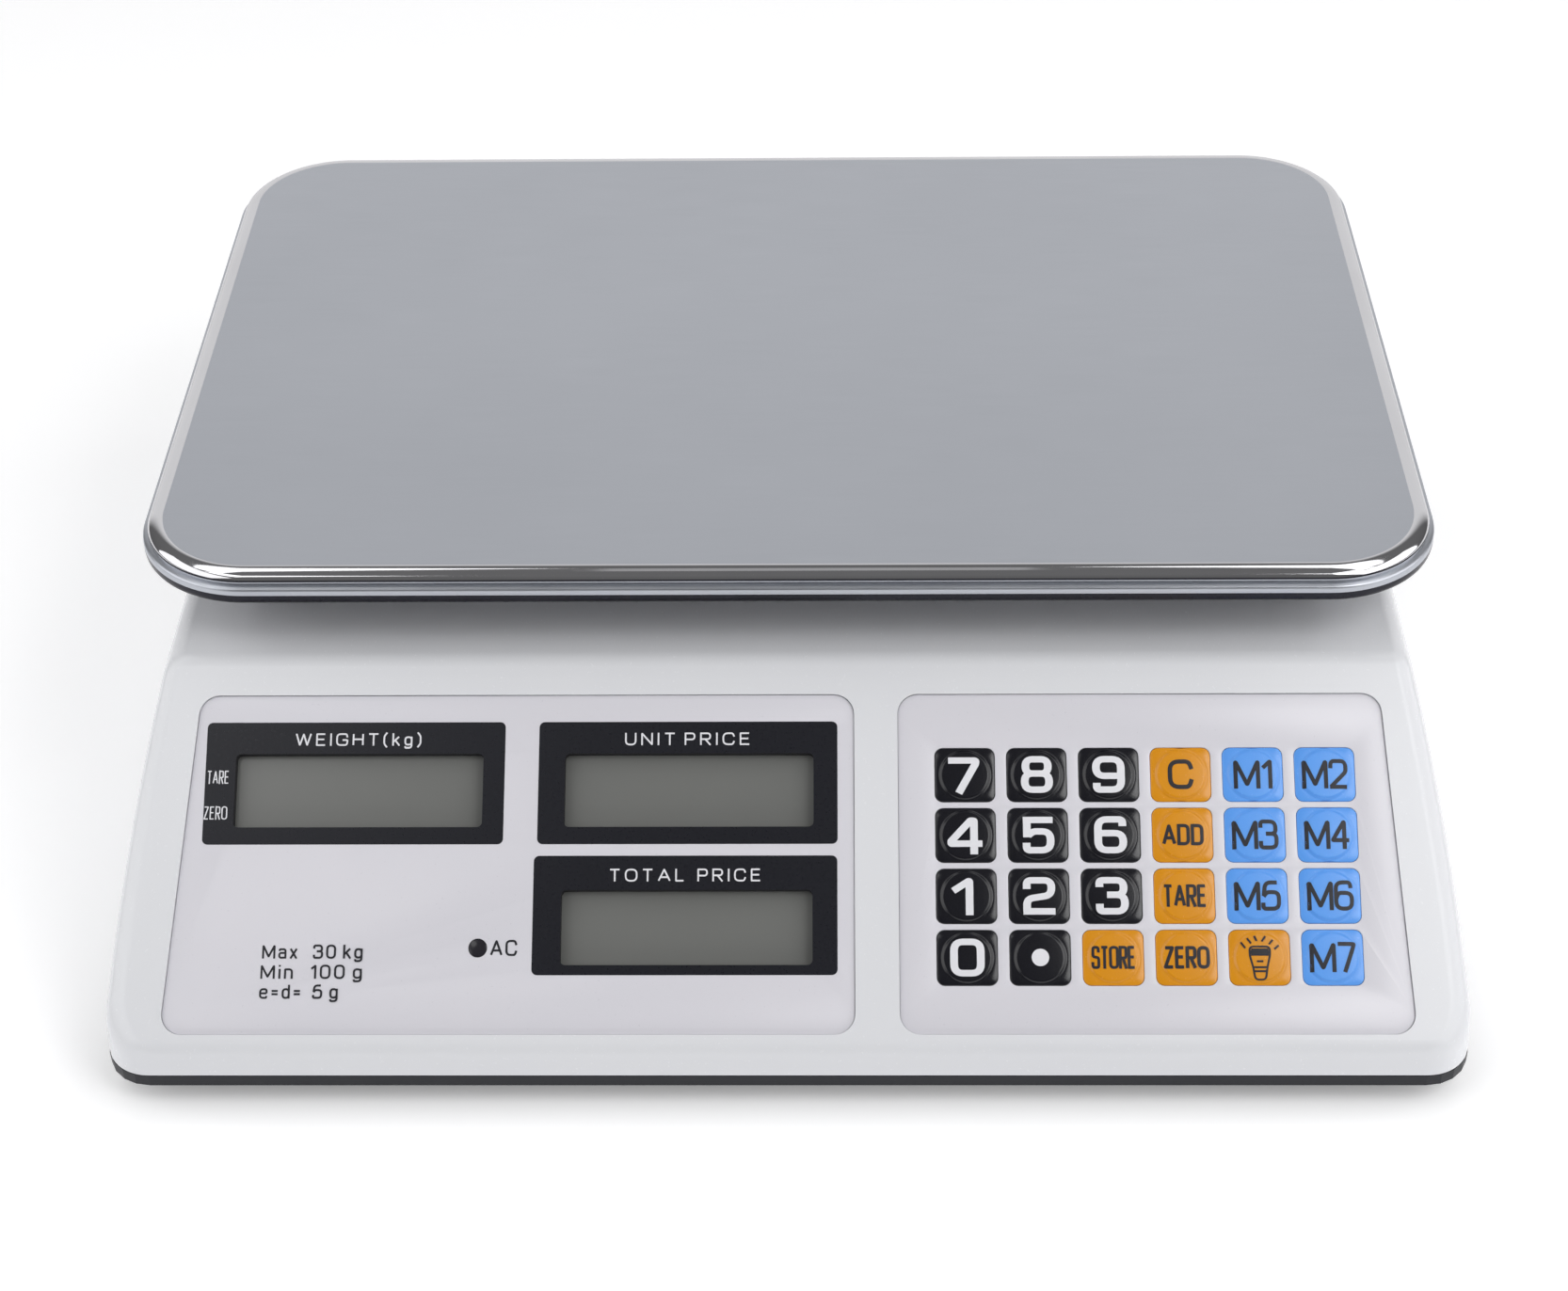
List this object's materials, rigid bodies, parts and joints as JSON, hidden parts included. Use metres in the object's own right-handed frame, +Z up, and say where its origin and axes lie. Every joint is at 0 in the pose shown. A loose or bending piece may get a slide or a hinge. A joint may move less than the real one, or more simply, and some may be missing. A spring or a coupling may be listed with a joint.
{
  "type": "retail price scale",
  "caption": "Counter scale with a wide stainless pan on a wedge-shaped white case, a sloped panel with LCD windows and a coloured keypad, and a customer display behind.",
  "frame": {"origin": "on the table, under the middle of the case's width and depth", "axes": "+X to the operator's right, +Y away from the operator towards the customer, +Z up"},
  "size_m": [0.345, 0.31, 0.105],
  "materials": {
    "white_abs": "fine moulded texture, off-white",
    "dark_abs": "moulded, near-black blue",
    "stainless": "satin stainless sheet",
    "zinc": "zinc plated",
    "aluminium": "machined, clear anodised",
    "film": "printed polyester film, light lilac-grey",
    "lcd": "LCD glass, grey-green, unlit",
    "board": "green glass-epoxy board",
    "rubber": "black moulded rubber",
    "number_key": "black",
    "function_key": "orange",
    "memory_key": "blue",
    "indicator": "dark red, unlit",
    "battery": "black case",
    "transformer": "varnished laminations"
  },
  "bodies": {
    "case_body": {"upper_housing": "white_abs", "bottom_cover": "dark_abs", "ac_inlet": "dark_abs", "switch_housing": "dark_abs", "battery_clamp": "zinc", "load_cell": "aluminium", "load_cell_bracket": "aluminium", "display_overlay": "film", "keypad_overlay": "film", "rear_display_overlay": "film", "lcd_weight": "lcd", "lcd_unit_price": "lcd", "lcd_total_price": "lcd", "rear_lcd_weight": "lcd", "rear_lcd_unit_price": "lcd", "rear_lcd_total_price": "lcd", "display_board": "board", "rear_display_board": "board", "keypad_board": "board", "main_board": "board", "ac_indicator_led": "indicator", "battery": "battery", "transformer": "transformer"},
    "pan_body": {"weighing_pan": "stainless"},
    "support_body": {"pan_support": "dark_abs", "platform_bolt_1": "zinc", "platform_bolt_2": "zinc", "pan_pad_front_left": "rubber", "pan_pad_front_right": "rubber", "pan_pad_rear_left": "rubber", "pan_pad_rear_right": "rubber"},
    "rocker_body": {"switch_rocker": "dark_abs"},
    "foot_front_left_body": {"foot_front_left": "rubber"},
    "foot_front_right_body": {"foot_front_right": "rubber"},
    "foot_rear_left_body": {"foot_rear_left": "rubber"},
    "foot_rear_right_body": {"foot_rear_right": "rubber"},
    "key_7_body": {"key_7": "number_key"},
    "key_8_body": {"key_8": "number_key"},
    "key_9_body": {"key_9": "number_key"},
    "key_clear_body": {"key_clear": "function_key"},
    "key_m1_body": {"key_m1": "memory_key"},
    "key_m2_body": {"key_m2": "memory_key"},
    "key_4_body": {"key_4": "number_key"},
    "key_5_body": {"key_5": "number_key"},
    "key_6_body": {"key_6": "number_key"},
    "key_add_body": {"key_add": "function_key"},
    "key_m3_body": {"key_m3": "memory_key"},
    "key_m4_body": {"key_m4": "memory_key"},
    "key_1_body": {"key_1": "number_key"},
    "key_2_body": {"key_2": "number_key"},
    "key_3_body": {"key_3": "number_key"},
    "key_tare_body": {"key_tare": "function_key"},
    "key_m5_body": {"key_m5": "memory_key"},
    "key_m6_body": {"key_m6": "memory_key"},
    "key_0_body": {"key_0": "number_key"},
    "key_point_body": {"key_point": "number_key"},
    "key_store_body": {"key_store": "function_key"},
    "key_zero_body": {"key_zero": "function_key"},
    "key_light_body": {"key_light": "function_key"},
    "key_m7_body": {"key_m7": "memory_key"}
  },
  "joints": [
    {"name": "support_flex", "type": "slide", "parent": "case_body", "child": "support_body", "axis": [0, 0, 1], "range_m": [-0.0006, 0], "stiffness_N_per_m": 400000, "springref_m": 0.00004},
    {"name": "pan_lift", "type": "slide", "parent": "support_body", "child": "pan_body", "axis": [0, 0, 1], "range_m": [0, 0.06]},
    {"name": "switch_hinge", "type": "hinge", "parent": "case_body", "child": "rocker_body", "pos_m": [0.16973, 0.064, 0.02989], "axis": [0.12, 0, -0.9928], "range_deg": [0, 16]},
    {"name": "foot_front_left_screw", "type": "slide", "parent": "case_body", "child": "foot_front_left_body", "axis": [0, 0, 1], "range_m": [-0.006, 0.002]},
    {"name": "foot_front_right_screw", "type": "slide", "parent": "case_body", "child": "foot_front_right_body", "axis": [0, 0, 1], "range_m": [-0.006, 0.002]},
    {"name": "foot_rear_left_screw", "type": "slide", "parent": "case_body", "child": "foot_rear_left_body", "axis": [0, 0, 1], "range_m": [-0.006, 0.002]},
    {"name": "foot_rear_right_screw", "type": "slide", "parent": "case_body", "child": "foot_rear_right_body", "axis": [0, 0, 1], "range_m": [-0.006, 0.002]},
    {"name": "key_7_press", "type": "slide", "parent": "case_body", "child": "key_7_body", "axis": [0, 0.6115, -0.7912], "range_m": [0, 0.0007], "stiffness_N_per_m": 2500},
    {"name": "key_8_press", "type": "slide", "parent": "case_body", "child": "key_8_body", "axis": [0, 0.6115, -0.7912], "range_m": [0, 0.0007], "stiffness_N_per_m": 2500},
    {"name": "key_9_press", "type": "slide", "parent": "case_body", "child": "key_9_body", "axis": [0, 0.6115, -0.7912], "range_m": [0, 0.0007], "stiffness_N_per_m": 2500},
    {"name": "key_clear_press", "type": "slide", "parent": "case_body", "child": "key_clear_body", "axis": [0, 0.6115, -0.7912], "range_m": [0, 0.0007], "stiffness_N_per_m": 2500},
    {"name": "key_m1_press", "type": "slide", "parent": "case_body", "child": "key_m1_body", "axis": [0, 0.6115, -0.7912], "range_m": [0, 0.0007], "stiffness_N_per_m": 2500},
    {"name": "key_m2_press", "type": "slide", "parent": "case_body", "child": "key_m2_body", "axis": [0, 0.6115, -0.7912], "range_m": [0, 0.0007], "stiffness_N_per_m": 2500},
    {"name": "key_4_press", "type": "slide", "parent": "case_body", "child": "key_4_body", "axis": [0, 0.6115, -0.7912], "range_m": [0, 0.0007], "stiffness_N_per_m": 2500},
    {"name": "key_5_press", "type": "slide", "parent": "case_body", "child": "key_5_body", "axis": [0, 0.6115, -0.7912], "range_m": [0, 0.0007], "stiffness_N_per_m": 2500},
    {"name": "key_6_press", "type": "slide", "parent": "case_body", "child": "key_6_body", "axis": [0, 0.6115, -0.7912], "range_m": [0, 0.0007], "stiffness_N_per_m": 2500},
    {"name": "key_add_press", "type": "slide", "parent": "case_body", "child": "key_add_body", "axis": [0, 0.6115, -0.7912], "range_m": [0, 0.0007], "stiffness_N_per_m": 2500},
    {"name": "key_m3_press", "type": "slide", "parent": "case_body", "child": "key_m3_body", "axis": [0, 0.6115, -0.7912], "range_m": [0, 0.0007], "stiffness_N_per_m": 2500},
    {"name": "key_m4_press", "type": "slide", "parent": "case_body", "child": "key_m4_body", "axis": [0, 0.6115, -0.7912], "range_m": [0, 0.0007], "stiffness_N_per_m": 2500},
    {"name": "key_1_press", "type": "slide", "parent": "case_body", "child": "key_1_body", "axis": [0, 0.6115, -0.7912], "range_m": [0, 0.0007], "stiffness_N_per_m": 2500},
    {"name": "key_2_press", "type": "slide", "parent": "case_body", "child": "key_2_body", "axis": [0, 0.6115, -0.7912], "range_m": [0, 0.0007], "stiffness_N_per_m": 2500},
    {"name": "key_3_press", "type": "slide", "parent": "case_body", "child": "key_3_body", "axis": [0, 0.6115, -0.7912], "range_m": [0, 0.0007], "stiffness_N_per_m": 2500},
    {"name": "key_tare_press", "type": "slide", "parent": "case_body", "child": "key_tare_body", "axis": [0, 0.6115, -0.7912], "range_m": [0, 0.0007], "stiffness_N_per_m": 2500},
    {"name": "key_m5_press", "type": "slide", "parent": "case_body", "child": "key_m5_body", "axis": [0, 0.6115, -0.7912], "range_m": [0, 0.0007], "stiffness_N_per_m": 2500},
    {"name": "key_m6_press", "type": "slide", "parent": "case_body", "child": "key_m6_body", "axis": [0, 0.6115, -0.7912], "range_m": [0, 0.0007], "stiffness_N_per_m": 2500},
    {"name": "key_0_press", "type": "slide", "parent": "case_body", "child": "key_0_body", "axis": [0, 0.6115, -0.7912], "range_m": [0, 0.0007], "stiffness_N_per_m": 2500},
    {"name": "key_point_press", "type": "slide", "parent": "case_body", "child": "key_point_body", "axis": [0, 0.6115, -0.7912], "range_m": [0, 0.0007], "stiffness_N_per_m": 2500},
    {"name": "key_store_press", "type": "slide", "parent": "case_body", "child": "key_store_body", "axis": [0, 0.6115, -0.7912], "range_m": [0, 0.0007], "stiffness_N_per_m": 2500},
    {"name": "key_zero_press", "type": "slide", "parent": "case_body", "child": "key_zero_body", "axis": [0, 0.6115, -0.7912], "range_m": [0, 0.0007], "stiffness_N_per_m": 2500},
    {"name": "key_light_press", "type": "slide", "parent": "case_body", "child": "key_light_body", "axis": [0, 0.6115, -0.7912], "range_m": [0, 0.0007], "stiffness_N_per_m": 2500},
    {"name": "key_m7_press", "type": "slide", "parent": "case_body", "child": "key_m7_body", "axis": [0, 0.6115, -0.7912], "range_m": [0, 0.0007], "stiffness_N_per_m": 2500}
  ]
}
